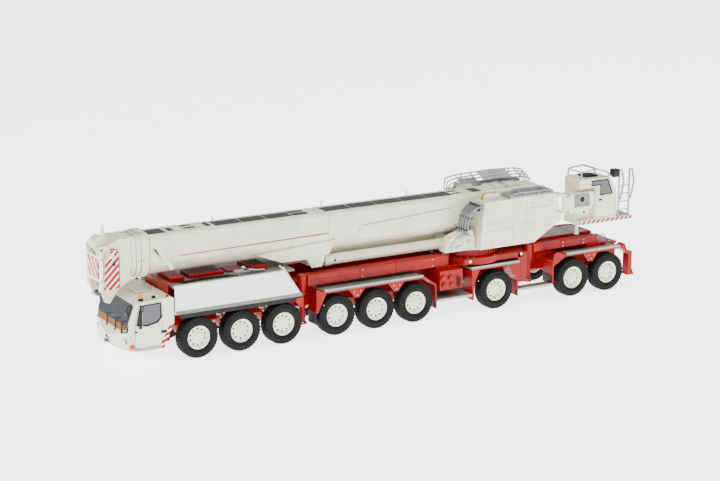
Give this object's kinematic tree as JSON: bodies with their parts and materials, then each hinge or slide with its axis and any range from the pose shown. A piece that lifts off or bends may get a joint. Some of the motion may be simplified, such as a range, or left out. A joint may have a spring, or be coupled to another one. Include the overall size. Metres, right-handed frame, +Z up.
{
  "type": "scale model of a mobile telescopic crane",
  "caption": "Scale model of a heavy all-terrain mobile crane with telescoping boom, slewing superstructure, swing-out outriggers, steered axles and a swinging, tilting crane cab.",
  "frame": {"origin": "on the ground under the middle of the model's overall box", "axes": "+X forward, towards the driver's cab and boom head; +Y to the vehicle's left; +Z up"},
  "size_m": [0.442, 0.0638, 0.098],
  "materials": {
    "cream_paint": "gloss",
    "red_paint": "gloss",
    "tyre_rubber": "matte",
    "grey_deck": "matte",
    "light_grey": "satin",
    "black_plastic": "matte",
    "dark_glass": "gloss",
    "dark_grey": "matte",
    "amber_lamp": "gloss",
    "bright_steel": "satin"
  },
  "bodies": {
    "carrier": {"chassis_frame": "red_paint", "slewing_ring": "red_paint", "fenders": "red_paint", "walkways": "grey_deck", "side_panels": "cream_paint", "deck_fittings": "light_grey", "carrier_cab_shell": "cream_paint", "carrier_cab_glass": "dark_glass", "carrier_cab_interior": "black_plastic", "carrier_lamps": "amber_lamp", "carrier_mirrors": "black_plastic", "axle_beams_fixed": "red_paint"},
    "axle_1": {"axle_beam_1": "red_paint"},
    "axle_2": {"axle_beam_2": "red_paint"},
    "axle_3": {"axle_beam_3": "red_paint"},
    "axle_8": {"axle_beam_8": "red_paint"},
    "axle_9": {"axle_beam_9": "red_paint"},
    "wheels_1": {"tyres_1": "tyre_rubber", "rims_1": "cream_paint"},
    "wheels_2": {"tyres_2": "tyre_rubber", "rims_2": "cream_paint"},
    "wheels_3": {"tyres_3": "tyre_rubber", "rims_3": "cream_paint"},
    "wheels_4": {"tyres_4": "tyre_rubber", "rims_4": "cream_paint"},
    "wheels_5": {"tyres_5": "tyre_rubber", "rims_5": "cream_paint"},
    "wheels_6": {"tyres_6": "tyre_rubber", "rims_6": "cream_paint"},
    "wheels_7": {"tyres_7": "tyre_rubber", "rims_7": "cream_paint"},
    "wheels_8": {"tyres_8": "tyre_rubber", "rims_8": "cream_paint"},
    "wheels_9": {"tyres_9": "tyre_rubber", "rims_9": "cream_paint"},
    "arm_front_left": {"outrigger_arm_front_left": "red_paint"},
    "leg_front_left": {"outrigger_leg_front_left": "bright_steel"},
    "arm_front_right": {"outrigger_arm_front_right": "red_paint"},
    "leg_front_right": {"outrigger_leg_front_right": "bright_steel"},
    "arm_rear_left": {"outrigger_arm_rear_left": "red_paint"},
    "leg_rear_left": {"outrigger_leg_rear_left": "bright_steel"},
    "arm_rear_right": {"outrigger_arm_rear_right": "red_paint"},
    "leg_rear_right": {"outrigger_leg_rear_right": "bright_steel"},
    "superstructure": {"turntable_frame": "cream_paint", "side_housings": "cream_paint", "platform_railings": "light_grey", "winches": "cream_paint", "hose_bundle": "light_grey"},
    "boom_base": {"boom_base": "cream_paint"},
    "boom_section_1": {"boom_section_1": "cream_paint"},
    "boom_section_2": {"boom_section_2": "cream_paint"},
    "boom_head": {"boom_head": "cream_paint", "head_sheaves": "black_plastic"},
    "lift_barrels": {"lift_barrels": "cream_paint"},
    "lift_rods": {"lift_rods": "bright_steel"},
    "cab_arm": {"crane_cab_arm": "cream_paint"},
    "crane_cab": {"crane_cab_shell": "cream_paint", "crane_cab_glass": "dark_glass", "crane_cab_interior": "black_plastic", "crane_cab_railing": "light_grey"}
  },
  "joints": [
    {"name": "steer_1", "type": "hinge", "parent": "carrier", "child": "axle_1", "pos_m": [0.155, 0, 0.01485], "axis": [0, 0, 1], "range_deg": [-10, 10]},
    {"name": "steer_2", "type": "hinge", "parent": "carrier", "child": "axle_2", "pos_m": [0.122, 0, 0.01485], "axis": [0, 0, 1], "range_deg": [-8, 8]},
    {"name": "steer_3", "type": "hinge", "parent": "carrier", "child": "axle_3", "pos_m": [0.089, 0, 0.01485], "axis": [0, 0, 1], "range_deg": [-6, 6]},
    {"name": "steer_8", "type": "hinge", "parent": "carrier", "child": "axle_8", "pos_m": [-0.1622, 0, 0.01485], "axis": [0, 0, 1], "range_deg": [-4, 4]},
    {"name": "steer_9", "type": "hinge", "parent": "carrier", "child": "axle_9", "pos_m": [-0.1952, 0, 0.01485], "axis": [0, 0, 1], "range_deg": [-5, 5]},
    {"name": "roll_1", "type": "hinge", "parent": "axle_1", "child": "wheels_1", "pos_m": [0.155, 0, 0.01485], "axis": [0, 1, 0], "continuous": true},
    {"name": "roll_2", "type": "hinge", "parent": "axle_2", "child": "wheels_2", "pos_m": [0.122, 0, 0.01485], "axis": [0, 1, 0], "continuous": true},
    {"name": "roll_3", "type": "hinge", "parent": "axle_3", "child": "wheels_3", "pos_m": [0.089, 0, 0.01485], "axis": [0, 1, 0], "continuous": true},
    {"name": "roll_4", "type": "hinge", "parent": "carrier", "child": "wheels_4", "pos_m": [0.0456, 0, 0.01485], "axis": [0, 1, 0], "continuous": true},
    {"name": "roll_5", "type": "hinge", "parent": "carrier", "child": "wheels_5", "pos_m": [0.0126, 0, 0.01485], "axis": [0, 1, 0], "continuous": true},
    {"name": "roll_6", "type": "hinge", "parent": "carrier", "child": "wheels_6", "pos_m": [-0.0204, 0, 0.01485], "axis": [0, 1, 0], "continuous": true},
    {"name": "roll_7", "type": "hinge", "parent": "carrier", "child": "wheels_7", "pos_m": [-0.0914, 0, 0.01485], "axis": [0, 1, 0], "continuous": true},
    {"name": "roll_8", "type": "hinge", "parent": "axle_8", "child": "wheels_8", "pos_m": [-0.1622, 0, 0.01485], "axis": [0, 1, 0], "continuous": true},
    {"name": "roll_9", "type": "hinge", "parent": "axle_9", "child": "wheels_9", "pos_m": [-0.1952, 0, 0.01485], "axis": [0, 1, 0], "continuous": true},
    {"name": "outrigger_front_left", "type": "hinge", "parent": "carrier", "child": "arm_front_left", "pos_m": [-0.052, 0.0172, 0.037], "axis": [0, 0, 1], "range_deg": [0, 50]},
    {"name": "leg_front_left", "type": "slide", "parent": "arm_front_left", "child": "leg_front_left", "axis": [0, 0, -1], "range_m": [0, 0.0088]},
    {"name": "outrigger_front_right", "type": "hinge", "parent": "carrier", "child": "arm_front_right", "pos_m": [-0.052, -0.0172, 0.037], "axis": [0, 0, -1], "range_deg": [0, 50]},
    {"name": "leg_front_right", "type": "slide", "parent": "arm_front_right", "child": "leg_front_right", "axis": [0, 0, -1], "range_m": [0, 0.0088]},
    {"name": "outrigger_rear_left", "type": "hinge", "parent": "carrier", "child": "arm_rear_left", "pos_m": [-0.1895, 0.0172, 0.0374], "axis": [0, 0, 1], "range_deg": [0, 125]},
    {"name": "leg_rear_left", "type": "slide", "parent": "arm_rear_left", "child": "leg_rear_left", "axis": [0, 0, -1], "range_m": [0, 0.0138]},
    {"name": "outrigger_rear_right", "type": "hinge", "parent": "carrier", "child": "arm_rear_right", "pos_m": [-0.1895, -0.0172, 0.0374], "axis": [0, 0, -1], "range_deg": [0, 125]},
    {"name": "leg_rear_right", "type": "slide", "parent": "arm_rear_right", "child": "leg_rear_right", "axis": [0, 0, -1], "range_m": [0, 0.0138]},
    {"name": "slew", "type": "hinge", "parent": "carrier", "child": "superstructure", "pos_m": [-0.0825, 0, 0.0456], "axis": [0, 0, 1], "continuous": true},
    {"name": "boom_lift", "type": "hinge", "parent": "superstructure", "child": "boom_base", "pos_m": [-0.13, 0, 0.078], "axis": [0, -1, 0], "range_deg": [0, 82]},
    {"name": "telescope_1", "type": "slide", "parent": "boom_base", "child": "boom_section_1", "axis": [1, 0, 0], "range_m": [0, 0.24]},
    {"name": "telescope_2", "type": "slide", "parent": "boom_section_1", "child": "boom_section_2", "axis": [1, 0, 0], "range_m": [0, 0.235]},
    {"name": "telescope_3", "type": "slide", "parent": "boom_section_2", "child": "boom_head", "axis": [1, 0, 0], "range_m": [0, 0.23]},
    {"name": "lift_barrel_swing", "type": "hinge", "parent": "superstructure", "child": "lift_barrels", "pos_m": [-0.063, 0, 0.0506], "axis": [0, -1, 0], "range_deg": [0, 94.2]},
    {"name": "lift_rod_stroke", "type": "slide", "parent": "lift_barrels", "child": "lift_rods", "axis": [1, 0, 0], "range_m": [0, 0.0894]},
    {"name": "cab_swing", "type": "hinge", "parent": "superstructure", "child": "cab_arm", "pos_m": [-0.152, 0.0294, 0.074], "axis": [0, 0, -1], "range_deg": [0, 180]},
    {"name": "cab_tilt", "type": "hinge", "parent": "cab_arm", "child": "crane_cab", "pos_m": [-0.1709, 0.0258, 0.075], "axis": [0, 1, 0], "range_deg": [0, 20]}
  ],
  "couplings": [
    {"joint": "steer_2", "follows": "steer_1", "ratio": 0.8},
    {"joint": "steer_3", "follows": "steer_1", "ratio": 0.6},
    {"joint": "steer_8", "follows": "steer_9", "ratio": 0.8},
    {"joint": "lift_barrel_swing", "follows": "boom_lift", "ratio": 1.1467},
    {"joint": "lift_rod_stroke", "follows": "boom_lift", "m_per_rad": 0.06238}
  ]
}
